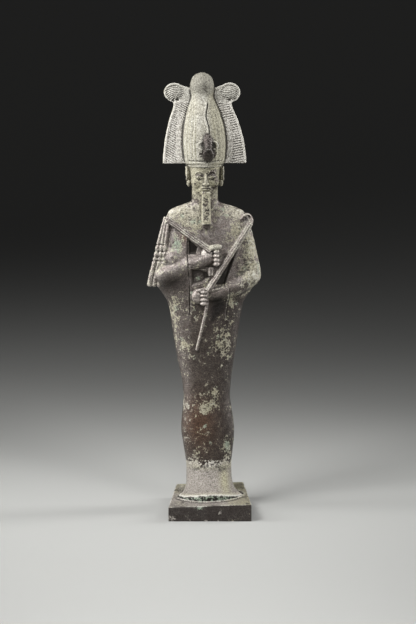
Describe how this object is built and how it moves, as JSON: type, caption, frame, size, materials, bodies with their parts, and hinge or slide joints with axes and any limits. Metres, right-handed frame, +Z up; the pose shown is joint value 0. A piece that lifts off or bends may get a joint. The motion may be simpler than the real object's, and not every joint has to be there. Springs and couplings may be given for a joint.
{
  "type": "statuette",
  "caption": "Cast bronze statuette of a standing wrapped god with a tall feathered crown, plaited beard, crook and flail, set on a thick bronze plinth",
  "frame": {"origin": "middle of the plinth's underside, where the statuette stands", "axes": "+Z up along the figure, -Y the way the figure faces, +X to the right of someone who looks at its face"},
  "size_m": [0.0775, 0.065, 0.3],
  "materials": {
    "figure_bronze": "aged bronze with a worn green and cream patina",
    "plinth_bronze": "dark aged bronze with an olive patina on top"
  },
  "bodies": {
    "root": {"osiris_figure": "figure_bronze", "plinth": "plinth_bronze"}
  },
  "joints": []
}
